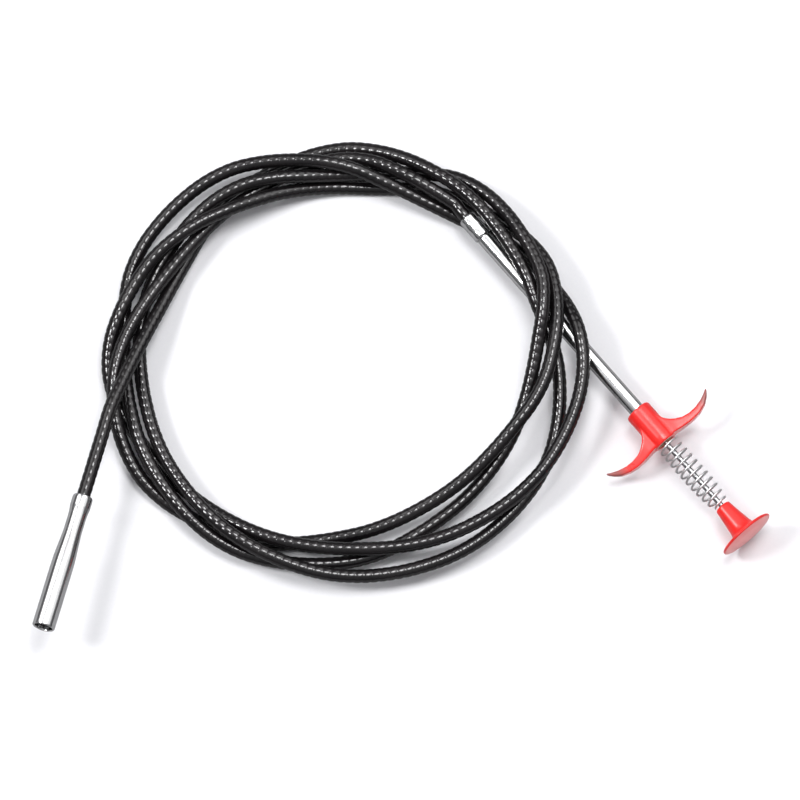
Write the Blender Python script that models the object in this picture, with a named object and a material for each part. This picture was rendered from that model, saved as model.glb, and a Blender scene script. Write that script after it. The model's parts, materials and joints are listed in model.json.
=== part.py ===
"""Drain auger: a flexible claw drain snake, lying coiled on a floor.

Pressing the red plunger against its spring pushes a rod and a long inner wire through a
flexible sheath, and a four-fingered claw comes out of the steel nozzle and opens.

Metres, +Z up. The floor is z = 0 and the origin lies under the middle of the object's box.
The handle and the nozzle are straight; each is modelled along the local +Z of an empty that
lies on its axis. The sheath is laid turn over turn around COIL_CENTRE and then relaxed.
"""
import math

import bmesh
import bpy
import numpy as np
from mathutils import Matrix, Vector

MM = 0.001

# ---------------------------------------------------------------- driving dimensions
COIL_CENTRE = Vector((-24.89, 12.36, 0.0)) * MM

# Sheath: ribbed jacket over a close-wound steel coil, with the inner wire in its middle.
JACKET_R = 3.2 * MM
JACKET_WALL = 0.8 * MM
COIL_R = 1.95 * MM
COIL_WALL = 0.75 * MM
WIRE_R = 0.65 * MM
STRAND_GAP = 1.2 * MM       # least gap between neighbouring turns
TUBE_GAP = 1.0 * MM         # least gap between the turns and the handle tube
SEGMENT = 14.0 * MM         # length of one straight facet of the sheath

# Radius of the lying turns every 30 degrees, anticlockwise from 60 degrees, turn by turn, if the
# coil were as deep in Y as it is wide in X.
COIL_DEPTH = 0.9505
TURN_STEP = 30.0
TURN_START = 60.0
TURN_RADII = (
    (95.8, 104.2, 97.9, 95.0, 106.4, 110.2, 99.4, 85.3, 78.3, 79.6, 91.8, 104.8),
    (98.3, 94.0, 95.6, 104.8, 108.2, 99.4, 94.5, 91.8, 96.7, 103.4, 107.5, 99.9),
    (91.6, 101.0, 113.4, 112.3, 103.4, 103.4, 105.3, 98.3, 87.5, 83.2, 85.3, 99.4),
    (107.5, 97.2, 102.6, 100.4, 97.2, 96.7, 100.4, 105.3, 106.4, 103.7, 97.7, 96.1),
    (103.7, 108.5, 99.9, 91.3),
)

# Handle axis: from the cable's crimp towards the plunger.
HANDLE_START = Vector((54.7, 69.1, 13.6)) * MM      # from COIL_CENTRE
HANDLE_AZIMUTH = math.radians(-49.85)
HANDLE_PITCH = math.radians(0.2)
HANDLE_LEAD = 9.0 * MM      # straight sheath behind the crimp
GRIP_ROLL = math.radians(8.0)

# Nozzle axis: from the cable's entry towards the open mouth.
NOZZLE_START = Vector((-120.8, -67.9, 26.0)) * MM   # from COIL_CENTRE
NOZZLE_AZIMUTH = math.radians(-105.6)
NOZZLE_PITCH = math.radians(4.0)
NOZZLE_LEAD = 45.0 * MM     # straight sheath before the nozzle

# Millimetres from here to the end of this section. Stations lie along the handle's axis.
CRIMP_R = 4.3
CRIMP_END = 12.2
SPIGOT_R = 2.7              # the crimp's rear part, inside the tube
SPIGOT_END = 20.0
TUBE_R = 3.65
TUBE_BORE_R = 3.0
TUBE_START = 12.9
TUBE_END = 138.1
GUIDE_START = 128.5
GUIDE_END = 141.2
ROD_R = 1.25
ROD_BORE_R = 1.55
ROD_START = 57.0
ROD_END = 193.0
CLAMP_R = 2.4
CLAMP_START = 51.3
CLAMP_END = 62.0
ROD_WIRE_ENDS = (22.0, 55.5)
GRIP_FRONT = 121.3
GRIP_REAR = 141.5
GRIP_R = 6.3
CAP_FRONT = 181.0
CAP_BORE_END = 193.6
DISC_R = 13.8
DISC_RIM = 198.2
CAP_REAR = 200.1
SPRING_WIRE_R = 0.5
SPRING_TURNS = 10.5

# Stations along the nozzle's axis; the claw is retracted.
NOZZLE_LENGTH = 65.6
NOZZLE_R = 5.25
NOZZLE_BORE_R = 4.2
THROAT_R = 2.6              # bore of the crimped stretch, round the sheath's coil
THROAT_END = 21.0
BORE_START = 32.0
CLAW_FERRULE_ENDS = (30.0, 38.4)
CLAW_FERRULE_R = 2.2
CLAW_SOCKET_R = 0.95         # round the claw's wire
CLAW_WIRE_ENDS = (-28.0, 35.6)
PIVOT_STATION = 39.0
PIVOT_R = 1.2
FINGER_R = 0.45
FINGERS = 4

# Where each layer of the sheath ends, on the handle's and on the nozzle's axis.
JACKET_ENDS = (9.8, 10.9)
COIL_ENDS = (24.0, 19.0)
WIRE_ENDS = (-5.0, -29.0)
JACKET_SOCKET_R = 3.5       # bore of the crimp and of the nozzle's entry, round the jacket
CRIMP_SHOULDER = 10.2       # where the socket narrows, in the crimp and in the nozzle
NOZZLE_SHOULDER = 11.2
COIL_BORE_R = 2.25          # bore of the crimp's rear part, round the sheath's coil
GUIDE_SPIGOT_R = 2.7

# Metres again.
GAP = 0.3 * MM              # clearance between neighbouring pieces
TURNED_STEPS = 20
MERGE = 0.01 * MM


# ---------------------------------------------------------------- shared tools
def clear_scene():
    for obj in list(bpy.data.objects):
        bpy.data.objects.remove(obj, do_unlink=True)


def make_material(name, colour, roughness, metallic=0.0):
    material = bpy.data.materials.new(name)
    material.use_nodes = True
    shader = material.node_tree.nodes["Principled BSDF"]
    shader.inputs["Base Color"].default_value = (*colour, 1.0)
    shader.inputs["Roughness"].default_value = roughness
    shader.inputs["Metallic"].default_value = metallic
    return material


def add_object(name, data, material, parent=None, location=(0.0, 0.0, 0.0)):
    obj = bpy.data.objects.new(name, data)
    bpy.context.collection.objects.link(obj)
    if material:
        data.materials.append(material)
    obj.parent = parent
    obj.location = location
    return obj


def add_axis(name, start, azimuth, pitch):
    """Empty whose local +Z runs along an axis, +X is level and +Y points up."""
    forward = Vector((math.cos(pitch) * math.cos(azimuth), math.cos(pitch) * math.sin(azimuth),
                      math.sin(pitch)))
    side = Vector((0.0, 0.0, 1.0)).cross(forward).normalized()
    up = forward.cross(side)
    rotation = Matrix((side, up, forward)).transposed().to_4x4()
    axis = bpy.data.objects.new(name, None)
    bpy.context.collection.objects.link(axis)
    axis.matrix_world = Matrix.Translation(COIL_CENTRE + start) @ rotation
    return axis


def finish_mesh(bm, name):
    bmesh.ops.remove_doubles(bm, verts=bm.verts, dist=MERGE)
    bmesh.ops.recalc_face_normals(bm, faces=bm.faces)
    mesh = bpy.data.meshes.new(name)
    bm.to_mesh(mesh)
    bm.free()
    mesh.shade_smooth()
    mesh.set_sharp_from_angle(angle=math.radians(35.0))
    return mesh


def turned_mesh(name, profile, closed, steps=TURNED_STEPS):
    """Solid of revolution about local Z; the profile holds (radius, station) pairs in metres."""
    bm = bmesh.new()
    verts = [bm.verts.new((radius, 0.0, station)) for radius, station in profile]
    pairs = list(zip(verts, verts[1:]))
    if closed:
        pairs.append((verts[-1], verts[0]))
    edges = [bm.edges.new(pair) for pair in pairs]
    bmesh.ops.spin(bm, geom=verts + edges, cent=(0, 0, 0), axis=(0, 0, 1), angle=math.tau,
                   steps=steps, use_merge=True)
    return finish_mesh(bm, name)


def turned(name, outer, inner, material, parent, steps=TURNED_STEPS):
    """Turned piece from an outer and an inner side, both listed from front to rear in mm."""
    profile = [(radius * MM, station * MM) for radius, station in outer + inner[::-1]]
    return add_object(name, turned_mesh(name, profile, True, steps), material, parent)


def wire(name, points, radius, sides, material, parent=None, location=(0.0, 0.0, 0.0), caps=True):
    """Round bar swept along points, as a poly curve with a round bevel."""
    curve = bpy.data.curves.new(name, "CURVE")
    curve.dimensions = "3D"
    curve.twist_mode = "Z_UP" if parent is None else "MINIMUM"
    curve.bevel_depth = radius
    curve.bevel_resolution = (sides - 4) // 2
    curve.use_fill_caps = caps
    spline = curve.splines.new("POLY")
    spline.points.add(len(points) - 1)
    for spline_point, point in zip(spline.points, points):
        spline_point.co = (*point, 1.0)
    return add_object(name, curve, material, parent, location)


def hose(name, points, radius, wall, sides, material):
    """Hollow tube swept along points, open at both ends."""
    obj = wire(name, points, radius, sides, material, caps=False)
    solidify = obj.modifiers.new("wall", "SOLIDIFY")
    solidify.thickness = wall
    solidify.offset = -1.0
    return obj


# ---------------------------------------------------------------- how the sheath lies
def catmull_rom(knots, steps_per_knot):
    """Smooth curve through every knot."""
    padded = np.vstack([2 * knots[0] - knots[1], knots, 2 * knots[-1] - knots[-2]])
    curve = []
    for a, b, c, d in zip(padded, padded[1:], padded[2:], padded[3:]):
        for step in range(steps_per_knot):
            t = step / steps_per_knot
            curve.append(0.5 * (2 * b + (c - a) * t + (2 * a - 5 * b + 4 * c - d) * t**2
                                + (3 * b - a - 3 * c + d) * t**3))
    curve.append(knots[-1])
    return np.array(curve)


def resample(points, spacing):
    """The same line with evenly spaced points."""
    lengths = np.linalg.norm(np.diff(points, axis=0), axis=1)
    stations = np.concatenate([[0.0], np.cumsum(lengths)])
    wanted = np.linspace(0.0, stations[-1], round(stations[-1] / spacing) + 1)
    return np.stack([np.interp(wanted, stations, points[:, k]) for k in range(3)], axis=1)


def smoothed(values, passes):
    for _ in range(passes):
        values[1:-1] = 0.25 * values[:-2] + 0.5 * values[1:-1] + 0.25 * values[2:]
    return values


class Lay:
    """The flexible sheath as a row of points, laid over itself and over the handle tube.

    Where two stretches cross, the one that is moving outwards faster lies on top. The rope is
    stiff, so heights are smoothed along it, and it sinks until it rests on the floor, on
    another turn or on the tube.
    """
    SPACING = 3.0 * MM
    NEAR_ALONG = 25.0 * MM  # stretches closer than this along the rope are the same stretch
    NEAR_ACROSS = 3.0 * MM  # pairs this much beyond touching are watched as well
    NEAR_TUBE = 10.0 * MM
    OWN_CRIMP = 30.0 * MM   # the rope's first stretch, which enters the crimp
    UNDER_CRIMP = 25.0 * MM     # the rope passes under the handle up to this station
    LEAN = 0.287            # the heap leans: this much towards -Y for each unit of height
    LEAN_LEVEL = 6.0 * MM   # height at which the lean leaves the radii as they are
    EAGERNESS = 1.2         # share of each overlap that is opened at one step
    # Phases: number of steps, sinking at each, pull towards the route, smoothing passes, and
    # whether turns only move up and down.
    PHASES = ((400, 0.03 * MM, 0.3, 25, True),
              (400, 0.018 * MM, 0.1, 12, False),
              (200, 0.0, 0.02, 4, False))

    def __init__(self, handle, nozzle):
        self.handle_start, self.handle_dir = handle
        self.nozzle_start, self.nozzle_dir = nozzle
        self.floor = JACKET_R
        self.reach = 2 * JACKET_R + STRAND_GAP
        self.route = self.first_route()
        self.points = self.leant(self.route, self.route[:, 2])
        self.ends = self.points.copy()
        count = len(self.points)
        self.free = np.ones(count, bool)
        self.free[:round(HANDLE_LEAD / self.SPACING) + 1] = False
        self.free[-round(NOZZLE_LEAD / self.SPACING) - 1:] = False
        self.points[self.free, 2] = self.floor
        self.find_neighbours()

    def leant(self, points, heights, way=-1.0):
        """Points moved along Y by the lean at the given heights; way 1 undoes the lean."""
        moved = points.copy()
        moved[..., 1] += way * self.LEAN * (heights - self.LEAN_LEVEL)
        return moved

    def first_route(self):
        """Plan of the turns, with the straight ends on the handle's and the nozzle's axes."""
        radii = np.concatenate(TURN_RADII) * MM
        angles = np.radians(TURN_START + TURN_STEP * np.arange(len(radii)))
        knots = np.stack([radii * np.cos(angles), COIL_DEPTH * radii * np.sin(angles),
                          np.full(len(radii), self.floor)], axis=1)
        start = self.handle_start - self.handle_dir * HANDLE_LEAD
        end = self.nozzle_start - self.nozzle_dir * NOZZLE_LEAD
        straight = np.array([self.handle_start, start, end, self.nozzle_start])
        first, start, end, last = self.leant(straight, straight[:, 2], 1.0)
        middle = catmull_rom(np.vstack([first, start, knots[1:], end, last]), 100)
        inside = slice(100, -100)
        lead = np.linspace(first, start, 10)[:-1]
        tail = np.linspace(end, last, 10)[1:]
        return resample(np.vstack([lead, middle[inside], tail]), self.SPACING)

    def find_neighbours(self):
        plan = self.points[:, :2]
        radius = np.hypot(plan[:, 0], plan[:, 1] / COIL_DEPTH)
        outward = np.gradient(radius)
        outward = np.convolve(np.pad(outward, 4, mode="edge"), np.ones(9) / 9, "valid")
        distance = np.linalg.norm(plan[:, None] - plan[None], axis=2)
        apart = int(self.NEAR_ALONG / self.SPACING)
        self.a, self.b = np.nonzero(np.triu(distance < self.reach + self.NEAR_ACROSS, apart))
        self.over = np.sign(outward[self.a] - outward[self.b])

        stations = np.arange(0.0, CAP_FRONT * MM, self.SPACING)
        self.tube = self.handle_start + stations[:, None] * self.handle_dir
        distance = np.linalg.norm(plan[:, None] - self.tube[None, :, :2], axis=2)
        rope, tube = np.nonzero(distance < self.NEAR_TUBE)
        clear_of_crimp = rope > self.OWN_CRIMP / self.SPACING
        self.rope, self.on_tube = rope[clear_of_crimp], tube[clear_of_crimp]
        met = stations[self.on_tube]
        self.tube_over = np.where(met < self.UNDER_CRIMP, -1.0, 1.0)
        handle_r = np.where(met < CRIMP_END * MM, CRIMP_R, TUBE_R) * MM
        self.tube_reach = handle_r + JACKET_R + TUBE_GAP

    def gap_moves(self, offset, reach, over, stacking):
        """Moves that open each near pair to its reach; vertical only while stacking."""
        moves = np.zeros_like(offset)
        if stacking:
            level = np.linalg.norm(offset[:, :2], axis=1)
            rise = np.sqrt(np.maximum(reach**2 - level**2, 0.0)) - over * offset[:, 2]
            tight = (rise > 0) & (level < reach)
            moves[tight, 2] = (rise * over)[tight]
        else:
            distance = np.linalg.norm(offset, axis=1)
            lack = reach - distance
            tight = lack > 0
            moves[tight] = (offset * (lack / distance)[:, None])[tight]
        return tight, moves

    def step(self, sink, hold, stiffness, stacking):
        points = self.points
        points[:, 2] -= sink
        shift = points - self.leant(self.route, points[:, 2])
        shift[:, 2] = points[:, 2]
        shift = smoothed(shift, stiffness)
        points[:, 2] = shift[:, 2]
        points[:, :2] = (self.leant(self.route, points[:, 2]) + shift * (1 - hold))[:, :2]

        push = np.zeros_like(points)
        count = np.zeros(len(points))
        tight, moves = self.gap_moves(points[self.a] - points[self.b], self.reach, self.over,
                                      stacking)
        for ends, sign in ((self.a, 0.5), (self.b, -0.5)):
            np.add.at(push, ends[tight], sign * moves[tight])
            np.add.at(count, ends[tight], 1)
        tight, moves = self.gap_moves(points[self.rope] - self.tube[self.on_tube],
                                      self.tube_reach, self.tube_over, stacking)
        np.add.at(push, self.rope[tight], moves[tight])
        np.add.at(count, self.rope[tight], 1)

        points = points + self.EAGERNESS * push / np.maximum(count, 1)[:, None]
        points[:, 2] = np.maximum(points[:, 2], self.floor)
        points[~self.free] = self.ends[~self.free]
        self.points = points

    def relax(self):
        for steps, *settings in self.PHASES:
            for _ in range(steps):
                self.step(*settings)
        return self.points[self.free]


def sheath_path(laid, end_stations, handle, nozzle):
    """Facet corners from a station in mm on the handle's axis to one on the nozzle's."""
    start, start_dir = handle
    end, end_dir = nozzle
    first = [start + start_dir * end_stations[0] * MM, start - start_dir * HANDLE_LEAD]
    last = [end - end_dir * NOZZLE_LEAD, end + end_dir * end_stations[1] * MM]
    middle = resample(np.vstack([first[1], laid, last[0]]), SEGMENT)
    path = np.vstack([first[0], middle, last[1]])
    return path + np.array(COIL_CENTRE)


# ---------------------------------------------------------------- handle
def straight_bar(name, ends, radius, sides, material, axis):
    """Round bar along an axis between two stations in mm."""
    points = [(0.0, 0.0, station * MM) for station in ends]
    return wire(name, points, radius, sides, material, axis)


def add_handle(axis, steel, red, brass, spring_steel):
    turned("handle_ferrule",
           [(CRIMP_R - 0.3, 0.0), (CRIMP_R, 0.8), (CRIMP_R, CRIMP_END - 0.5),
            (CRIMP_R - 0.4, CRIMP_END), (SPIGOT_R, CRIMP_END), (SPIGOT_R, SPIGOT_END)],
           [(JACKET_SOCKET_R, 0.0), (JACKET_SOCKET_R, CRIMP_SHOULDER),
            (COIL_BORE_R, CRIMP_SHOULDER), (COIL_BORE_R, SPIGOT_END)],
           steel, axis)
    turned("handle_tube", [(TUBE_R, TUBE_START), (TUBE_R, TUBE_END)],
           [(TUBE_BORE_R, TUBE_START), (TUBE_BORE_R, TUBE_END)], steel, axis)
    flange = TUBE_END + GAP / MM
    turned("rod_guide", [(GUIDE_SPIGOT_R, GUIDE_START), (GUIDE_SPIGOT_R, flange),
                         (TUBE_R, flange), (TUBE_R, GUIDE_END)],
           [(ROD_BORE_R, GUIDE_START), (ROD_BORE_R, GUIDE_END)], brass, axis)
    turned("wire_clamp", [(CLAMP_R - 0.3, CLAMP_START), (CLAMP_R, CLAMP_START + 0.4),
                          (CLAMP_R, CLAMP_END - 0.4), (CLAMP_R - 0.3, CLAMP_END)],
           [(ROD_BORE_R, CLAMP_START), (ROD_BORE_R, CLAMP_END)], brass, axis)
    straight_bar("push_rod", (ROD_START, ROD_END), ROD_R * MM, 12, steel, axis)
    straight_bar("rod_wire", ROD_WIRE_ENDS, WIRE_R, 6, steel, axis)
    add_grip(axis, red)
    add_plunger(axis, red)
    add_spring(axis, spring_steel)


def add_plunger(axis, red):
    """Tapered sleeve that flares into a thin domed thumb disc."""
    bore = [(0.0, CAP_BORE_END), (ROD_BORE_R, CAP_BORE_END), (ROD_BORE_R, CAP_FRONT)]
    sleeve = [(3.4, CAP_FRONT), (3.8, CAP_FRONT + 0.5), (5.6, DISC_RIM - 4.0),
              (6.2, DISC_RIM - 2.2), (7.8, DISC_RIM - 1.2)]
    disc = [(DISC_R - 0.4, DISC_RIM - 0.6), (DISC_R, DISC_RIM), (DISC_R - 0.4, DISC_RIM + 0.6),
            (8.0, CAP_REAR - 0.4), (2.5, CAP_REAR), (0.0, CAP_REAR)]
    profile = [(radius * MM, station * MM) for radius, station in bore + sleeve + disc]
    mesh = turned_mesh("plunger_cap", profile, False, 24)
    add_object("plunger_cap", mesh, red, axis)


def add_grip(axis, red):
    """Sleeve on the tube's end with two finger horns that curve towards the cable."""
    # Half outline of the horns in mm: distance from the axis, front edge, rear edge, depth.
    stations = ((0.0, -6.5, 9.4, 9.0), (4.6, -3.5, 9.5, 8.6), (6.7, 1.2, 9.6, 7.8),
                (8.5, 3.2, 9.8, 7.0), (10.5, 4.7, 10.1, 6.4), (13.5, 6.2, 10.4, 5.9),
                (17.0, 6.8, 10.5, 5.4), (21.0, 6.6, 10.0, 4.8), (25.0, 5.5, 8.6, 4.1),
                (28.0, 4.1, 6.3, 3.4), (30.2, 2.7, 3.7, 2.6))
    middle = 0.5 * (GRIP_FRONT + GRIP_REAR) * MM
    bm = bmesh.new()
    both_sides = [(-x, *rest) for x, *rest in reversed(stations[1:])] + list(stations)
    rings = []
    for x, front, rear, depth in both_sides:
        corners = ((front, depth), (rear, depth), (rear, -depth), (front, -depth))
        rings.append([bm.verts.new((x * MM, 0.5 * y * MM, z * MM)) for z, y in corners])
    for ring, following in zip(rings, rings[1:]):
        for k in range(4):
            bm.faces.new((ring[k], ring[k - 1], following[k - 1], following[k]))
    bm.faces.new(rings[0])
    bm.faces.new(rings[-1])
    horns = add_object("finger_grip", finish_mesh(bm, "finger_grip"), red, axis,
                       (0.0, 0.0, middle))
    horns.rotation_euler = (0.0, 0.0, GRIP_ROLL)

    edge = horns.modifiers.new("soft edges", "BEVEL")
    edge.width = 1.1 * MM
    edge.segments = 2
    edge.limit_method = "ANGLE"
    edge.angle_limit = math.radians(40.0)

    half = 0.5 * (GRIP_REAR - GRIP_FRONT)
    sleeve_profile = [(0.0, half), (5.7, half), (GRIP_R - 0.2, half - 0.4), (GRIP_R, half - 3.0),
                      (GRIP_R, -half + 0.5), (GRIP_R - 0.4, -half), (0.0, -half)]
    bore_r = TUBE_R + GAP / MM
    bore_profile = [(0.0, 2 * half), (bore_r, 2 * half), (bore_r, -2 * half), (0.0, -2 * half)]
    for name, profile, operation in (("grip_sleeve_form", sleeve_profile, "UNION"),
                                     ("grip_bore_cutter", bore_profile, "DIFFERENCE")):
        profile = [(radius * MM, station * MM) for radius, station in profile]
        tool = add_object(name, turned_mesh(name, profile, False), None, horns)
        tool.hide_render = True
        tool.display_type = "WIRE"
        boolean = horns.modifiers.new(operation.lower(), "BOOLEAN")
        boolean.object = tool
        boolean.operation = operation
        boolean.solver = "EXACT"


def add_spring(axis, spring_steel):
    """Return spring: barrel-shaped, with its last turn drawn in to sit on the plunger."""
    points_per_turn = 10
    start = GRIP_REAR + SPRING_WIRE_R + 0.4
    end = CAP_FRONT - SPRING_WIRE_R - 0.3
    count = int(SPRING_TURNS * points_per_turn)
    points = []
    for k in range(count + 1):
        along = k / count
        radius = (4.9 + 0.4 * math.sin(math.pi * along) - 1.6 * along**8) * MM
        angle = math.tau * SPRING_TURNS * along
        points.append((radius * math.cos(angle), radius * math.sin(angle),
                       (start + (end - start) * along) * MM))
    wire("return_spring", points, SPRING_WIRE_R * MM, 6, spring_steel, axis)


# ---------------------------------------------------------------- nozzle and claw
def add_nozzle(axis, steel):
    """Crimped on the sheath behind a raised rim, then flared into the body that hides the claw."""
    crimped = [(4.3, 0.0), (4.7, 0.8), (4.75, 6.1), (4.4, 8.3), (4.25, 11.4), (4.25, 17.5)]
    body = [(4.5, 21.7), (4.85, 26.4), (5.15, 30.7), (NOZZLE_R, 35.0),
            (NOZZLE_R, NOZZLE_LENGTH - 0.4), (NOZZLE_R - 0.2, NOZZLE_LENGTH)]
    inside = [(JACKET_SOCKET_R, 0.0), (JACKET_SOCKET_R, NOZZLE_SHOULDER),
              (THROAT_R, NOZZLE_SHOULDER), (THROAT_R, THROAT_END),
              (NOZZLE_BORE_R, BORE_START), (NOZZLE_BORE_R, NOZZLE_LENGTH)]
    turned("nozzle_tube", crimped + body, inside, steel, axis)


def add_claw(axis, steel, spring_steel):
    front, rear = CLAW_FERRULE_ENDS
    socket_end = CLAW_WIRE_ENDS[1] + 0.5
    turned("claw_ferrule",
           [(CLAW_FERRULE_R - 0.4, front), (CLAW_FERRULE_R, front + 0.5),
            (CLAW_FERRULE_R, rear - 0.4), (CLAW_FERRULE_R - 0.2, rear), (0.0, rear)],
           [(CLAW_SOCKET_R, front), (CLAW_SOCKET_R, socket_end), (0.0, socket_end)],
           steel, axis, 16)
    straight_bar("claw_wire", CLAW_WIRE_ENDS, WIRE_R, 6, steel, axis)
    # One finger in its own plane, in mm: distance from the nozzle's axis, distance past the pivot.
    outline = ((PIVOT_R, -0.2), (1.2, 8.0), (1.35, 14.0), (1.7, 18.0), (2.1, 21.0), (2.15, 22.7),
               (1.55, 24.2))
    points = [((radius - PIVOT_R) * MM, 0.0, past * MM) for radius, past in outline]
    for number in range(FINGERS):
        turn = math.tau * (number + 0.5) / FINGERS
        place = Vector((PIVOT_R * math.cos(turn), PIVOT_R * math.sin(turn), PIVOT_STATION)) * MM
        finger = wire(f"claw_finger_{number + 1}", points, FINGER_R * MM, 6, spring_steel, axis,
                      place)
        finger.rotation_euler = (0.0, 0.0, turn)


# ---------------------------------------------------------------- assembly
def axis_line(start, azimuth, pitch):
    """Start and direction of an axis as arrays, from COIL_CENTRE."""
    level = math.cos(pitch)
    direction = np.array((level * math.cos(azimuth), level * math.sin(azimuth), math.sin(pitch)))
    return np.array(start), direction


def add_sheath(black, steel):
    handle = axis_line(HANDLE_START, HANDLE_AZIMUTH, HANDLE_PITCH)
    nozzle = axis_line(NOZZLE_START, NOZZLE_AZIMUTH, NOZZLE_PITCH)
    laid = Lay(handle, nozzle).relax()
    hose("sheath_jacket", sheath_path(laid, JACKET_ENDS, handle, nozzle), JACKET_R, JACKET_WALL,
         8, black)
    hose("sheath_coil", sheath_path(laid, COIL_ENDS, handle, nozzle), COIL_R, COIL_WALL, 6, steel)
    wire("inner_wire", sheath_path(laid, WIRE_ENDS, handle, nozzle), WIRE_R, 4, steel)


def main():
    clear_scene()
    steel = make_material("bright_steel", (0.72, 0.72, 0.73), 0.25, 1.0)
    spring_steel = make_material("spring_steel", (0.55, 0.55, 0.57), 0.3, 1.0)
    brass = make_material("brass", (0.75, 0.58, 0.28), 0.35, 1.0)
    red = make_material("red_plastic", (0.85, 0.05, 0.05), 0.3)
    black = make_material("black_jacket", (0.015, 0.015, 0.017), 0.35)
    handle_axis = add_axis("handle_axis", HANDLE_START, HANDLE_AZIMUTH, HANDLE_PITCH)
    nozzle_axis = add_axis("nozzle_axis", NOZZLE_START, NOZZLE_AZIMUTH, NOZZLE_PITCH)
    add_handle(handle_axis, steel, red, brass, spring_steel)
    add_nozzle(nozzle_axis, steel)
    add_claw(nozzle_axis, steel, spring_steel)
    add_sheath(black, steel)


main()
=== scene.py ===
"""Looks of the drain auger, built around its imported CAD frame.

Every place comes from the frame: the handle's and the nozzle's axes from the sliding joints,
the lie of the sheath, the spring and the claw fingers from the rings of their CAD solids.
Metres, +Z up, floor at z = 0.
"""
import json
import math

import bmesh
import bpy
import numpy as np
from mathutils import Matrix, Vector


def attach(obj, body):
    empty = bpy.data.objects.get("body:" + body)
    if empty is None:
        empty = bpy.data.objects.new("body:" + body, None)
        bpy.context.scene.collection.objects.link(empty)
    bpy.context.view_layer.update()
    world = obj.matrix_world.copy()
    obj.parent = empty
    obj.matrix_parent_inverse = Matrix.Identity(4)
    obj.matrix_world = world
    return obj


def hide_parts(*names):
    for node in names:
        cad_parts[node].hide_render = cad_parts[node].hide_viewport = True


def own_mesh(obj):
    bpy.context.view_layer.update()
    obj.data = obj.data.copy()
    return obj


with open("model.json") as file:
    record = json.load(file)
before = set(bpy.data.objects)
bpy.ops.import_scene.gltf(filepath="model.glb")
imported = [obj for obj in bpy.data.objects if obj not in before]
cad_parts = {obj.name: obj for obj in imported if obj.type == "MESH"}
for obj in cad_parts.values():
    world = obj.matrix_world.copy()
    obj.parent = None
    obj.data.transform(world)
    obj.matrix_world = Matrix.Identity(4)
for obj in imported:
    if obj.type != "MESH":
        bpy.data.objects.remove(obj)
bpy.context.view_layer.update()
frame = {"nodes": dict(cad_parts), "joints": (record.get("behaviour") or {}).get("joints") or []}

MM = 0.001
UP = np.array((0.0, 0.0, 1.0))
MERGE = 0.002 * MM

# Cover of the sheath
SHEATH_R = 3.2 * MM
SHEATH_WALL = 0.8 * MM
RIB_PITCH = 3.85 * MM
RIB_DEPTH = 0.22 * MM
CROWN = 3.2                 # exponent of the rib's outline: higher is flatter on top
RINGS_PER_RIB = 8
SHEATH_COLUMNS = 16

# Turned metal, in mm as the outlines are
CRIMP_SLEEVE_R = 4.3
CRIMP_SHOULDER = 10.2       # station where the sheath's socket ends
SHEATH_SOCKET_R = 3.5
WIRE_HOLE_R = 2.25
TUBE_R = 3.65
TUBE_BORE_R = 3.0
GUIDE_SPIGOT_R = 2.7
GUIDE_FLANGE = 2.8          # thickness of the guide's flange
ROD_R = 1.25
ROD_HOLE_R = 1.55           # in the guide and in the thumb button
NOZZLE_R = 5.25
NOZZLE_WAIST_R = 4.25
NOZZLE_SHOULDER = 11.2
NOZZLE_THROAT_R = 2.6
NOZZLE_BORE_R = 4.2
CLAW_FERRULE_R = 2.2

# Punch marks on the crimp sleeve
DENT_START = 2.8 * MM
DENT_PITCH = 2.9 * MM
DENT_ROWS = 3
DENTS_AROUND = 7
DENT_DEPTH = 0.11 * MM
DENT_SIZE = 0.9 * MM

# Thumb button, in mm: the disc's rim and its sleeve
DISC_R = 13.8
DISC_RISE = 1.9             # from the rim to the face's middle
SLEEVE_R = 4.5

# Spring and claw wire
SPRING_WIRE_R = 0.5 * MM
SPRING_RADIUS = 4.9 * MM
SPRING_STEP = 0.35 * MM
FINGER_WIRE_R = 0.45 * MM
FINGER_STEP = 0.3 * MM

# Finger grip's moulding
GRIP_VOXEL = 0.3 * MM
GRIP_SMOOTHINGS = 14
HORN_GREY_START = 19 * MM   # distance from the handle's axis
HORN_GREY_END = 26 * MM

# Camera at the viewing angle of a person looking down at a table
CAMERA_ELEVATION = math.radians(74.0)
CAMERA_DISTANCE = 5.0
CAMERA_WIDTH = 0.368        # what the frame spans at the target
CAMERA_TARGET = Vector((-0.00097, -0.00391, 0.006))
SENSOR = 36.0


# ================================================================ reading the frame
def unit(vector):
    vector = np.array(vector, float)
    return vector / np.linalg.norm(vector)


def node_mesh(node):
    """The CAD node's mesh with its split corners merged."""
    bm = bmesh.new()
    bm.from_mesh(frame["nodes"][node].data)
    bmesh.ops.remove_doubles(bm, verts=bm.verts, dist=MERGE)
    return bm


def node_points(node):
    bm = node_mesh(node)
    points = np.array([vert.co[:] for vert in bm.verts])
    bm.free()
    return points


def joint(name):
    return next(entry for entry in frame["joints"] if entry["name"] == name)


class Axis:
    """A straight axis: station 0 lies at the start of a CAD node, +X is level, +Y points up."""

    def __init__(self, direction, centred_node, first_node):
        self.forward = unit(direction)
        self.side = unit(np.cross(UP, self.forward))
        self.up = np.cross(self.forward, self.side)
        self.origin = node_points(centred_node).mean(axis=0)
        self.origin = self.origin + self.forward * self.stations(first_node).min()

    def stations(self, node):
        return (node_points(node) - self.origin) @ self.forward

    def span(self, node):
        stations = self.stations(node)
        return stations.min(), stations.max()

    def at(self, local):
        """World points of local (x, y, station) points."""
        local = np.asarray(local, float)
        return (self.origin + local[..., :1] * self.side + local[..., 1:2] * self.up
                + local[..., 2:] * self.forward)


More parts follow.
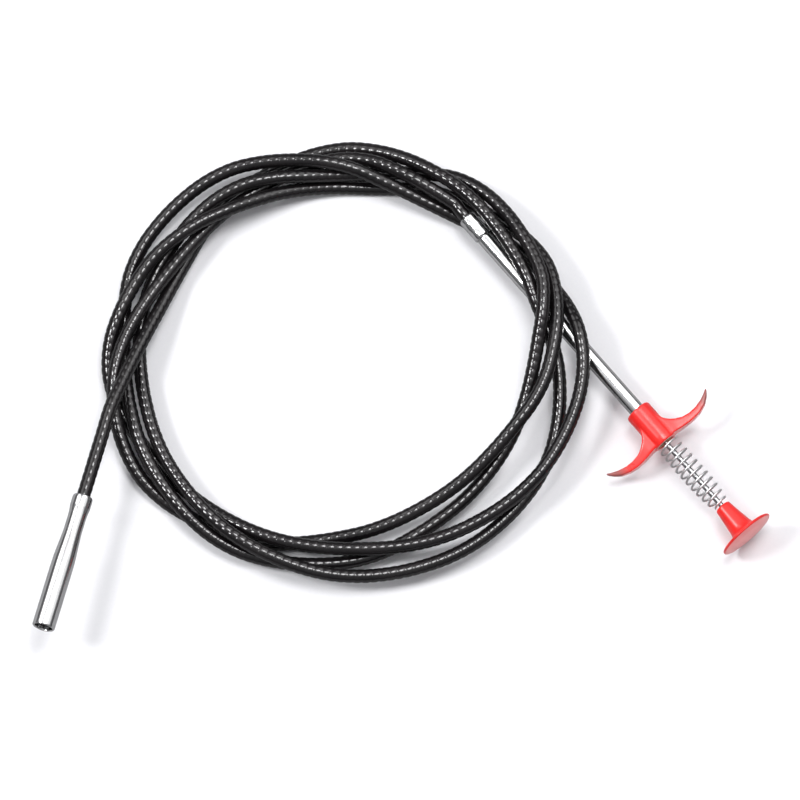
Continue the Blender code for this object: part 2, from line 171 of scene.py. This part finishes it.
HANDLE = Axis([-x for x in joint("plunger_slide")["axis"]], "handle_tube", "handle_ferrule")
NOZZLE = Axis(joint("claw_slide")["axis"], "nozzle_tube", "nozzle_tube")


def ring_centres(node, sides, start):
    """Centre line of a swept CAD solid: its rings are walked from the end nearest to start."""
    bm = node_mesh(node)
    start = Vector(start)
    layer = sorted(bm.verts, key=lambda vert: (vert.co - start).length)[:sides]
    seen = set(layer)
    centres = []
    while layer:
        centres.append(np.mean([vert.co[:] for vert in layer], axis=0))
        ahead = {edge.other_vert(vert) for vert in layer for edge in vert.link_edges} - seen
        seen |= ahead
        layer = list(ahead)
    bm.free()
    return np.array(centres)


# ================================================================ lines and meshes
def smooth_line(knots, spacing):
    """Catmull-Rom curve through the knots, with evenly spaced points."""
    knots = np.asarray(knots, float)
    padded = np.vstack([2 * knots[0] - knots[1], knots, 2 * knots[-1] - knots[-2]])
    t = np.linspace(0.0, 1.0, 24, endpoint=False)[:, None]
    pieces = [0.5 * (2 * b + (c - a) * t + (2 * a - 5 * b + 4 * c - d) * t**2
                     + (3 * b - a - 3 * c + d) * t**3)
              for a, b, c, d in zip(padded, padded[1:], padded[2:], padded[3:])]
    return even_line(np.vstack(pieces + [knots[-1:]]), spacing)


def even_line(points, spacing):
    lengths = np.linalg.norm(np.diff(points, axis=0), axis=1)
    stations = np.concatenate([[0.0], np.cumsum(lengths)])
    wanted = np.linspace(0.0, stations[-1], max(2, round(stations[-1] / spacing) + 1))
    return np.stack([np.interp(wanted, stations, points[:, k]) for k in range(3)], axis=1)


def line_stations(line):
    return np.concatenate([[0.0], np.cumsum(np.linalg.norm(np.diff(line, axis=0), axis=1))])


def tube_grid(line, radii, columns, reference):
    """Rings of points round a line; radii has one value per ring, or one per ring and column."""
    tangent = np.gradient(line, axis=0)
    tangent /= np.linalg.norm(tangent, axis=1)[:, None]
    side = np.cross(np.broadcast_to(reference, line.shape), tangent)
    side /= np.linalg.norm(side, axis=1)[:, None]
    top = np.cross(tangent, side)
    angle = np.arange(columns) * math.tau / columns
    radii = np.asarray(radii, float)
    radii = np.broadcast_to(radii[:, None] if radii.ndim == 1 else radii, (len(line), columns))
    around = (side[:, None] * np.cos(angle)[None, :, None]
              + top[:, None] * np.sin(angle)[None, :, None])
    return line[:, None] + around * radii[..., None]


def turned_grid(axis, profile, columns, ripple=None):
    """Rings of points of a turned piece; ripple(radius, station, angle) may reshape the radius."""
    profile = np.asarray(profile, float)
    angle = np.arange(columns) * math.tau / columns
    radius = np.repeat(profile[:, :1], columns, axis=1)
    station = np.repeat(profile[:, 1:], columns, axis=1)
    if ripple:
        radius = ripple(radius, station, angle[None, :])
    local = np.stack([radius * np.cos(angle), radius * np.sin(angle), station], axis=2)
    return axis.at(local)


def grid_mesh(name, grid, ring_loop=False, tip_points=None):
    """Mesh of a grid of rings: a closed loop of rings, or a row whose ends close on tip points."""
    rings, columns = grid.shape[:2]
    verts = grid.reshape(-1, 3)
    index = np.arange(rings * columns).reshape(rings, columns)
    ahead = np.roll(index, -1, axis=1)
    last = rings if ring_loop else rings - 1
    following = np.roll(index, -1, axis=0)[:last]
    faces = np.stack([index[:last], ahead[:last], np.roll(following, -1, axis=1), following],
                     axis=2).reshape(-1, 4)
    loops = faces.ravel()
    sizes = np.full(len(faces), 4)
    if tip_points is not None:
        first, end = len(verts), len(verts) + 1
        verts = np.vstack([verts, tip_points])
        fans = [np.stack([np.full(columns, first), ahead[0], index[0]], axis=1),
                np.stack([np.full(columns, end), index[-1], ahead[-1]], axis=1)]
        loops = np.concatenate([loops, *[fan.ravel() for fan in fans]])
        sizes = np.concatenate([sizes, np.full(2 * columns, 3)])
    mesh = bpy.data.meshes.new(name)
    mesh.vertices.add(len(verts))
    mesh.vertices.foreach_set("co", verts.astype(np.float32).ravel())
    mesh.loops.add(len(loops))
    mesh.loops.foreach_set("vertex_index", loops.astype(np.int32))
    mesh.polygons.add(len(sizes))
    starts = np.concatenate([[0], np.cumsum(sizes)[:-1]])
    mesh.polygons.foreach_set("loop_start", starts.astype(np.int32))
    mesh.update(calc_edges=True)
    mesh.validate()
    return face_outwards(mesh)


def face_outwards(mesh, crease=38.0):
    bm = bmesh.new()
    bm.from_mesh(mesh)
    bmesh.ops.recalc_face_normals(bm, faces=bm.faces)
    if bm.calc_volume(signed=True) < 0:
        bmesh.ops.reverse_faces(bm, faces=bm.faces)
    bm.to_mesh(mesh)
    bm.free()
    mesh.shade_smooth()
    mesh.set_sharp_from_angle(angle=math.radians(crease))
    return mesh


def piece(name, mesh, material, body, *nodes):
    """A shown piece that rides on a body and stands for CAD nodes, with their material slot."""
    obj = bpy.data.objects.new(name, mesh)
    bpy.context.scene.collection.objects.link(obj)
    obj.data.materials.append(material)
    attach(obj, body)
    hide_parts(*nodes)
    return obj


def rounded(profile, radius, closed=True, steps=4):
    """The outline with each corner rounded; radius is the corner's setback, limited by its sides."""
    profile = [np.array(point, float) for point in profile]
    count = len(profile)
    outline = []
    for k, corner in enumerate(profile):
        if not closed and k in (0, count - 1):
            outline.append(corner)
            continue
        before, after = profile[k - 1], profile[(k + 1) % count]
        into, out = before - corner, after - corner
        setback = min(radius, 0.45 * np.linalg.norm(into), 0.45 * np.linalg.norm(out))
        start, end = corner + unit(into) * setback, corner + unit(out) * setback
        for step in range(steps + 1):
            t = step / steps
            outline.append((1 - t)**2 * start + 2 * t * (1 - t) * corner + t**2 * end)
    return np.array(outline)


def densified(profile, spacing):
    """Extra points along the long sides of a closed outline, so that it can be dented."""
    points = list(profile)
    outline = []
    for start, end in zip(points, points[1:] + points[:1]):
        count = max(1, int(np.linalg.norm(end - start) / spacing))
        outline += [start + (end - start) * k / count for k in range(count)]
    return np.array(outline)


# ================================================================ materials
class Nodes:
    """Small helper that adds shader nodes and links them."""

    def __init__(self, name):
        self.material = bpy.data.materials.new(name)
        self.material.use_nodes = True
        self.tree = self.material.node_tree
        self.shader = self.tree.nodes["Principled BSDF"]

    def link(self, source, target):
        self.tree.links.new(source, target)

    def set(self, socket, value):
        if isinstance(value, bpy.types.NodeSocket):
            self.link(value, socket)
        else:
            socket.default_value = value

    def add(self, kind, inputs=None, **settings):
        node = self.tree.nodes.new(kind)
        for key, value in settings.items():
            setattr(node, key, value)
        for key, value in (inputs or {}).items():
            self.set(node.inputs[key], value)
        return node

    def place(self):
        return self.add("ShaderNodeTexCoord").outputs["Object"]

    def stretched(self, axis, along, across):
        """Object coordinates scaled along an axis and across it."""
        place = self.place()
        parts = []
        for direction, scale in ((axis.side, across), (axis.up, across), (axis.forward, along)):
            parts.append(self.vector_math("DOT_PRODUCT", place, tuple(direction * scale)))
        return self.add("ShaderNodeCombineXYZ", dict(zip("XYZ", parts))).outputs["Vector"]

    def noise(self, vector, scale, detail=3.0, roughness=0.5):
        node = self.add("ShaderNodeTexNoise", {"Vector": vector, "Scale": scale, "Detail": detail,
                                               "Roughness": roughness})
        return node.outputs["Fac"]

    def mapped(self, value, low, high, from_low=0.3, from_high=0.7):
        node = self.add("ShaderNodeMapRange", {"Value": value, "From Min": from_low,
                                               "From Max": from_high, "To Min": low,
                                               "To Max": high})
        return node.outputs["Result"]

    def blend(self, share, first, second):
        """Colour between two others; each is a socket or an (r, g, b) triple."""
        first, second = (colour if isinstance(colour, bpy.types.NodeSocket) else (*colour, 1.0)
                         for colour in (first, second))
        node = self.add("ShaderNodeMix", {0: share, 6: first, 7: second}, data_type="RGBA")
        return node.outputs[2]

    def math(self, operation, first, second):
        node = self.add("ShaderNodeMath", {0: first, 1: second}, operation=operation)
        return node.outputs[0]

    def vector_math(self, operation, first, second):
        node = self.add("ShaderNodeVectorMath", {0: first, 1: second}, operation=operation)
        return node.outputs["Value"]

    def bump(self, height, strength, distance):
        node = self.add("ShaderNodeBump", {"Height": height, "Strength": strength,
                                           "Distance": distance})
        self.link(node.outputs["Normal"], self.shader.inputs["Normal"])

    def finish(self, colour, roughness, metallic=0.0, **extra):
        self.set(self.shader.inputs["Base Color"], colour)
        self.set(self.shader.inputs["Roughness"], roughness)
        self.set(self.shader.inputs["Metallic"], metallic)
        for name, value in extra.items():
            self.set(self.shader.inputs[name.replace("_", " ")], value)
        return self.material


def black_cover():
    """Satin black plastic with a faint bloom of dust and fine scuffs."""
    nodes = Nodes("black_cover")
    place = nodes.place()
    bloom = nodes.noise(place, 55.0, 4.0)
    grain = nodes.noise(place, 2600.0, 2.0)
    colour = nodes.blend(nodes.mapped(bloom, 0.0, 1.0), (0.0035, 0.003, 0.0035),
                         (0.009, 0.0075, 0.008))
    nodes.bump(grain, 0.1, 0.03 * MM)
    return nodes.finish(colour, nodes.mapped(bloom, 0.15, 0.21), 0.0, Specular_IOR_Level=0.58)


def plated_steel(name, axis, tint=(0.82, 0.82, 0.825)):
    """Bright plating with fine draw marks along its axis and a few duller patches."""
    nodes = Nodes(name)
    marks = nodes.noise(nodes.stretched(axis, 25.0, 2600.0), 1.0, 3.0, 0.6)
    patches = nodes.noise(nodes.place(), 140.0, 3.0)
    darker = tuple(0.8 * value for value in tint)
    colour = nodes.blend(nodes.mapped(patches, 0.0, 0.6), tint, darker)
    roughness = nodes.math("ADD", nodes.mapped(marks, 0.08, 0.18),
                           nodes.mapped(patches, 0.0, 0.05))
    nodes.bump(marks, 0.1, 0.02 * MM)
    return nodes.finish(colour, roughness, 1.0)


def drawn_wire(name, tint, low, high):
    """Drawn steel wire: metallic, with mottled roughness."""
    nodes = Nodes(name)
    mottling = nodes.noise(nodes.place(), 900.0, 3.0)
    darker = tuple(0.7 * value for value in tint)
    colour = nodes.blend(nodes.mapped(mottling, 0.0, 1.0), tint, darker)
    nodes.bump(mottling, 0.08, 0.03 * MM)
    return nodes.finish(colour, nodes.mapped(mottling, low, high), 1.0)


def red_plastic():
    """Moulded plastic, uneven in colour, with greyish horn tips.

    The thumb face is painted paler at a grazing angle: a painted reflection of the bright floor.
    """
    nodes = Nodes("red_plastic")
    place = nodes.place()
    flow = nodes.noise(place, 90.0, 3.0, 0.6)
    ripple = nodes.noise(place, 420.0, 2.0)
    colour = nodes.blend(nodes.mapped(flow, 0.0, 1.0), (0.74, 0.016, 0.012),
                         (0.62, 0.011, 0.010))
    across = nodes.stretched(HANDLE, 0.0, 1.0)
    centre = tuple(float(HANDLE.origin @ direction)
                   for direction in (HANDLE.side, HANDLE.up)) + (0.0,)
    reach = nodes.vector_math("DISTANCE", across, centre)
    tips = nodes.mapped(reach, 0.0, 0.9, HORN_GREY_START, HORN_GREY_END)
    colour = nodes.blend(tips, colour, (0.2, 0.06, 0.055))
    # Painted reflection: the forward-facing thumb face turns pale pink when seen at a grazing angle,
    # in place of the bright floor reflected there.
    normal = nodes.add("ShaderNodeNewGeometry").outputs["Normal"]
    forward = nodes.vector_math("DOT_PRODUCT", normal, tuple(HANDLE.forward))
    grazing = nodes.add("ShaderNodeLayerWeight", {"Blend": 0.5}).outputs["Facing"]
    face = nodes.math("MULTIPLY", nodes.mapped(forward, 0.0, 0.85, 0.8, 0.97),
                      nodes.mapped(grazing, 0.15, 1.0, 0.4, 0.75))
    colour = nodes.blend(face, colour, (0.95, 0.38, 0.37))
    nodes.bump(ripple, 0.1, 0.1 * MM)
    return nodes.finish(colour, nodes.mapped(flow, 0.26, 0.4), 0.0, Subsurface_Weight=0.05,
                        Subsurface_Radius=(0.003, 0.0006, 0.0006), Sheen_Weight=0.3,
                        Sheen_Roughness=0.35, Sheen_Tint=(1.0, 0.8, 0.82, 1.0))


STEEL = plated_steel("plated_steel_handle", HANDLE)
NOZZLE_STEEL = plated_steel("plated_steel_nozzle", NOZZLE)
SPRING_STEEL = drawn_wire("spring_steel", (0.86, 0.86, 0.87), 0.35, 0.5)
ROD_STEEL = drawn_wire("rod_steel", (0.4, 0.4, 0.41), 0.25, 0.4)
COIL_STEEL = drawn_wire("coil_steel", (0.5, 0.5, 0.52), 0.3, 0.45)
BRASS = drawn_wire("brass", (0.78, 0.6, 0.3), 0.2, 0.35)
RED = red_plastic()
BLACK = black_cover()


# ================================================================ sheath
def add_sheath():
    """Ribbed cover along the whole sheath, hollow, with its ends inside the crimps."""
    start_guess = HANDLE.at((0.0, 0.0, -5.0 * MM))
    centres = ring_centres("inner_wire", 4, start_guess)
    jacket = node_points("sheath_jacket")
    ends = []
    for axis, near in ((HANDLE, (-5.0 * MM, 30.0 * MM)), (NOZZLE, (-20.0 * MM, 30.0 * MM))):
        offset = jacket - axis.origin
        station = offset @ axis.forward
        away = np.linalg.norm(offset - np.outer(station, axis.forward), axis=1)
        inside = (away < SHEATH_R) & (station > near[0]) & (station < near[1])
        ends.append(axis.at((0.0, 0.0, station[inside].max())))
    line = smooth_line(np.vstack([ends[0], centres, ends[1]]), RIB_PITCH / RINGS_PER_RIB)
    angle = np.arange(SHEATH_COLUMNS) / SHEATH_COLUMNS
    turn = (line_stations(line)[:, None] / RIB_PITCH + angle[None, :]) % 1.0
    groove = (np.abs(turn - 0.5) * 2)**CROWN
    outer = tube_grid(line, SHEATH_R - RIB_DEPTH * groove, SHEATH_COLUMNS, UP)
    coarse = even_line(line, 6.0 * MM)
    inner = tube_grid(coarse, SHEATH_R - SHEATH_WALL, SHEATH_COLUMNS, UP)
    mesh = grid_mesh("sheath_cover", np.concatenate([outer, inner[::-1]]), ring_loop=True)
    piece("sheath_cover", mesh, BLACK, "handle_and_cable", "sheath_jacket")


# ================================================================ handle
def mm(points):
    return [(radius * MM, station * MM) for radius, station in points]


def add_turned(name, axis, profile, material, body, node, corner=0.25, columns=64, ripple=None,
               spacing=None):
    """Hollow turned piece from a closed outline in mm."""
    outline = rounded(mm(profile), corner * MM)
    if spacing:
        outline = densified(outline, spacing * MM)
    grid = turned_grid(axis, outline, columns, ripple)
    piece(name, grid_mesh(name, grid, ring_loop=True), material, body, node)


def add_solid_turned(name, axis, profile, material, body, node, corner=0.25, columns=64):
    """Solid turned piece whose outline in mm starts and ends on the axis."""
    outline = rounded(mm(profile), corner * MM, closed=False)
    tips = axis.at([(0.0, 0.0, outline[0][1]), (0.0, 0.0, outline[-1][1])])
    grid = turned_grid(axis, outline[1:-1], columns)
    piece(name, grid_mesh(name, grid, tip_points=tips), material, body, node)


def crimp_dents(radius, station, angle):
    """Rows of round punch marks, as a change of the crimp sleeve's outer radius."""
    outer = radius > radius.max() * 0.85
    for row in range(DENT_ROWS):
        turn = angle * DENTS_AROUND / math.tau + 0.5 * (row % 2)
        across = (turn - np.round(turn)) * math.tau / DENTS_AROUND * radius
        along = station - (DENT_START + row * DENT_PITCH)
        dent = np.exp(-(across**2 + along**2) / DENT_SIZE**2)
        radius = radius - DENT_DEPTH * dent * outer
    return radius


def add_handle_metal():
    end = HANDLE.span("handle_ferrule")[1] / MM
    add_turned("crimp_sleeve", HANDLE,
               [(3.9, 0.0), (CRIMP_SLEEVE_R, 0.8), (CRIMP_SLEEVE_R, 11.6), (3.9, 12.2),
                (2.7, 12.2), (2.7, end), (WIRE_HOLE_R, end), (WIRE_HOLE_R, CRIMP_SHOULDER),
                (SHEATH_SOCKET_R, CRIMP_SHOULDER), (SHEATH_SOCKET_R, 0.0)],
               STEEL, "handle_and_cable", "handle_ferrule", columns=72, spacing=0.4,
               ripple=crimp_dents)
    start, end = (station / MM for station in HANDLE.span("handle_tube"))
    add_turned("handle_tube_body", HANDLE,
               [(TUBE_R, start), (TUBE_R, end), (TUBE_BORE_R, end), (TUBE_BORE_R, start)],
               STEEL, "handle_and_cable", "handle_tube")
    start, end = (station / MM for station in HANDLE.span("rod_guide"))
    flange = end - GUIDE_FLANGE
    add_turned("rod_guide_bush", HANDLE,
               [(GUIDE_SPIGOT_R, start), (GUIDE_SPIGOT_R, flange), (TUBE_R, flange), (TUBE_R, end),
                (ROD_HOLE_R, end), (ROD_HOLE_R, start)],
               BRASS, "handle_and_cable", "rod_guide")
    start, end = (station / MM for station in HANDLE.span("push_rod"))
    add_solid_turned("push_rod_bar", HANDLE,
                     [(0.0, start), (ROD_R, start), (ROD_R, end), (0.0, end)],
                     ROD_STEEL, "plunger", "push_rod", columns=40)


def add_plunger():
    """Thumb button: a flared sleeve under a thin, slightly domed disc."""
    front, end = (station / MM for station in HANDLE.span("plunger_cap"))
    bore_end = HANDLE.span("push_rod")[1] / MM + 0.6
    rim = end - DISC_RISE
    outline = [(0.0, bore_end), (ROD_HOLE_R, bore_end), (ROD_HOLE_R, front), (3.2, front),
               (3.8, front + 0.6), (SLEEVE_R, front + 6.0), (5.5, rim - 4.4), (6.1, rim - 2.5),
               (7.8, rim - 1.3), (13.3, rim - 0.65), (DISC_R, rim), (13.3, rim + 0.65),
               (8.0, end - 0.4), (2.4, end), (0.0, end)]
    add_solid_turned("thumb_button", HANDLE, outline, RED, "plunger", "plunger_cap", corner=0.7,
                     columns=96)


def add_grip():
    """Finger grip: the CAD shape, remeshed fine and softened so that its corners flow."""
    bm = node_mesh("finger_grip")
    mesh = bpy.data.meshes.new("grip_shape")
    bm.to_mesh(mesh)
    bm.free()
    shape = bpy.data.objects.new("grip_shape", mesh)
    bpy.context.scene.collection.objects.link(shape)
    remesh = shape.modifiers.new("even skin", "REMESH")
    remesh.mode = "VOXEL"
    remesh.voxel_size = GRIP_VOXEL
    soften = shape.modifiers.new("soft corners", "SMOOTH")
    soften.factor = 0.5
    soften.iterations = GRIP_SMOOTHINGS
    depsgraph = bpy.context.evaluated_depsgraph_get()
    final = bpy.data.meshes.new_from_object(shape.evaluated_get(depsgraph))
    bpy.data.objects.remove(shape)
    final.name = "finger_grip_moulding"
    piece("finger_grip_moulding", face_outwards(final, 60.0), RED, "handle_and_cable",
          "finger_grip")


def add_spring():
    """Return spring, swept finely along the CAD spring, with closed end coils."""
    start, end = HANDLE.span("return_spring")
    first = HANDLE.at((SPRING_RADIUS, 0.0, start + SPRING_WIRE_R))
    centres = ring_centres("return_spring", 6, first)
    line = smooth_line(centres, SPRING_STEP)
    offset = line - HANDLE.origin
    radial = offset - np.outer(offset @ HANDLE.forward, HANDLE.forward)
    radial /= np.linalg.norm(radial, axis=1)[:, None]
    taper = np.clip(np.minimum(np.arange(len(line)), np.arange(len(line))[::-1]) / 3.0, 0.15, 1)
    grid = tube_grid(line, SPRING_WIRE_R * np.sqrt(taper), 14, radial)
    mesh = grid_mesh("spring_wire", grid, tip_points=line[[0, -1]])
    spring = piece("spring_wire", mesh, SPRING_STEEL, "handle_and_cable", "return_spring")
    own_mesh(spring)


# ================================================================ nozzle and claw
def add_nozzle():
    end = NOZZLE.span("nozzle_tube")[1] / MM
    add_turned("nozzle_body", NOZZLE,
               [(4.1, 0.0), (4.6, 0.5), (4.75, 1.6), (4.75, 5.6), (4.5, 7.0), (4.35, 8.6),
                (NOZZLE_WAIST_R, 11.4), (NOZZLE_WAIST_R, 17.5), (4.5, 21.7), (4.85, 26.4),
                (5.15, 30.7), (NOZZLE_R, 35.0), (NOZZLE_R, end - 0.5), (5.0, end), (4.5, end),
                (NOZZLE_BORE_R, end - 0.4), (NOZZLE_BORE_R, 32.0), (NOZZLE_THROAT_R, 21.0),
                (NOZZLE_THROAT_R, NOZZLE_SHOULDER), (SHEATH_SOCKET_R, NOZZLE_SHOULDER),
                (SHEATH_SOCKET_R, 0.0)],
               NOZZLE_STEEL, "handle_and_cable", "nozzle_tube", corner=0.9, columns=80)


def add_claw():
    start, end = (station / MM for station in NOZZLE.span("claw_ferrule"))
    add_solid_turned("claw_ferrule_body", NOZZLE,
                     [(0.0, start), (1.8, start), (CLAW_FERRULE_R, start + 0.6),
                      (CLAW_FERRULE_R, end - 0.5), (1.9, end), (0.0, end)],
                     NOZZLE_STEEL, "claw", "claw_ferrule", columns=48)
    for number in range(1, 5):
        hinge = joint(f"finger_{number}_spread")
        centres = ring_centres(f"claw_finger_{number}", 6, hinge["pos_m"])
        line = smooth_line(centres, FINGER_STEP)
        steps = np.arange(len(line))
        from_end = np.minimum(steps, steps[::-1]) * FINGER_STEP
        shortfall = 1 - np.clip(from_end / FINGER_WIRE_R, 0, 1)
        radii = FINGER_WIRE_R * np.sqrt(np.clip(1 - shortfall**2, 0.04, 1))
        grid = tube_grid(line, radii, 16, np.array(hinge["axis"]))
        mesh = grid_mesh(f"finger_wire_{number}", grid, tip_points=line[[0, -1]])
        piece(f"finger_wire_{number}", mesh, SPRING_STEEL, f"finger_{number}",
              f"claw_finger_{number}")


def dress_hidden_nodes():
    """The CAD solids that stay: the wires, the wound coil and the clamp inside the tool."""
    finishes = {"sheath_coil": COIL_STEEL, "inner_wire": COIL_STEEL, "rod_wire": COIL_STEEL,
                "claw_wire": COIL_STEEL, "wire_clamp": BRASS}
    for node, material in finishes.items():
        data = frame["nodes"][node].data
        data.materials.clear()
        data.materials.append(material)


# ================================================================ studio
def add_floor():
    bpy.ops.mesh.primitive_plane_add(size=6.0, location=(0.0, 0.0, 0.0))
    floor = bpy.context.object
    floor.name = "studio_floor"
    nodes = Nodes("studio_paper")
    fibres = nodes.noise(nodes.place(), 700.0, 2.0)
    colour = nodes.blend(nodes.mapped(fibres, 0.0, 1.0), (0.745, 0.745, 0.765), (0.73, 0.73, 0.755))
    # Painted dark reflection: the floor is dark grey where mirror images see it, so round metal and
    # the black cover get darker flanks.
    glossy = nodes.add("ShaderNodeLightPath").outputs["Is Glossy Ray"]
    paper_with_painted_dark_reflection = nodes.blend(glossy, colour, (0.22, 0.22, 0.225))
    floor.data.materials.append(nodes.finish(paper_with_painted_dark_reflection, 0.9))


def add_world():
    """Bright above and dim towards the horizon, so that round metal shows darker flanks."""
    world = bpy.data.worlds.new("studio_dome")
    bpy.context.scene.world = world
    world.use_nodes = True
    tree = world.node_tree
    background = tree.nodes["Background"]
    place = tree.nodes.new("ShaderNodeTexCoord")
    split = tree.nodes.new("ShaderNodeSeparateXYZ")
    ramp = tree.nodes.new("ShaderNodeValToRGB")
    tree.links.new(place.outputs["Generated"], split.inputs[0])
    tree.links.new(split.outputs["Z"], ramp.inputs["Fac"])
    tree.links.new(ramp.outputs["Color"], background.inputs["Color"])
    stops = ((0.12, 0.07), (0.45, 0.24), (0.8, 0.38), (1.0, 0.42))
    elements = ramp.color_ramp.elements
    while len(elements) < len(stops):
        elements.new(0.5)
    for element, (height, level) in zip(elements, stops):
        element.position = height
        element.color = (level, level, 1.03 * level, 1.0)
    background.inputs["Strength"].default_value = 1.0


def add_softbox(name, direction, distance, spread, radiance, seen_in_gloss=True, lights=True):
    """Disc light that shines on the origin; spread is the angle of its radius seen from there.

    It may be left out of mirror images (seen_in_gloss) or be seen in them only (lights).
    """
    light = bpy.data.lights.new(name, "AREA")
    light.shape = "DISK"
    radius = distance * math.tan(math.radians(spread))
    light.size = 2 * radius
    light.energy = radiance * math.pi**2 * radius**2
    lamp = bpy.data.objects.new(name, light)
    bpy.context.scene.collection.objects.link(lamp)
    lamp.visible_glossy = seen_in_gloss
    lamp.visible_diffuse = lights
    direction = Vector(direction).normalized()
    lamp.location = direction * distance
    lamp.rotation_euler = direction.to_track_quat("Z", "Y").to_euler()


def add_lights():
    add_softbox("key", (-0.76, -0.02, 1.0), 3.0, 7.5, 36.0)
    add_softbox("overhead", (0.1, 0.13, 1.0), 3.0, 10.5, 16.0)
    add_softbox("overhead_panel", (0.12, 0.13, 1.0), 2.9, 28.0, 0.6, lights=False)
    add_softbox("front_fill", (0.7, -0.5, 0.35), 3.0, 12.0, 3.0, seen_in_gloss=False)
    add_softbox("left_back", (-0.53, 0.5, 0.68), 2.0, 17.0, 1.8)
    add_softbox("right", (0.62, 0.2, 0.79), 2.0, 24.0, 0.75)
    add_softbox("right_back", (0.45, 0.59, 0.71), 2.0, 20.0, 1.5)


def add_camera():
    camera = bpy.data.objects.new("camera", bpy.data.cameras.new("camera"))
    bpy.context.scene.collection.objects.link(camera)
    camera.data.sensor_width = SENSOR
    camera.data.lens = SENSOR * CAMERA_DISTANCE / CAMERA_WIDTH
    back = Vector((0.0, -math.cos(CAMERA_ELEVATION), math.sin(CAMERA_ELEVATION)))
    camera.location = CAMERA_TARGET + back * CAMERA_DISTANCE
    camera.rotation_euler = back.to_track_quat("Z", "Y").to_euler()
    bpy.context.scene.camera = camera


# ================================================================ build
add_sheath()
add_handle_metal()
add_plunger()
add_grip()
add_spring()
add_nozzle()
add_claw()
dress_hidden_nodes()
add_floor()
add_world()
add_lights()
add_camera()
bpy.context.scene.view_settings.view_transform = "Standard"
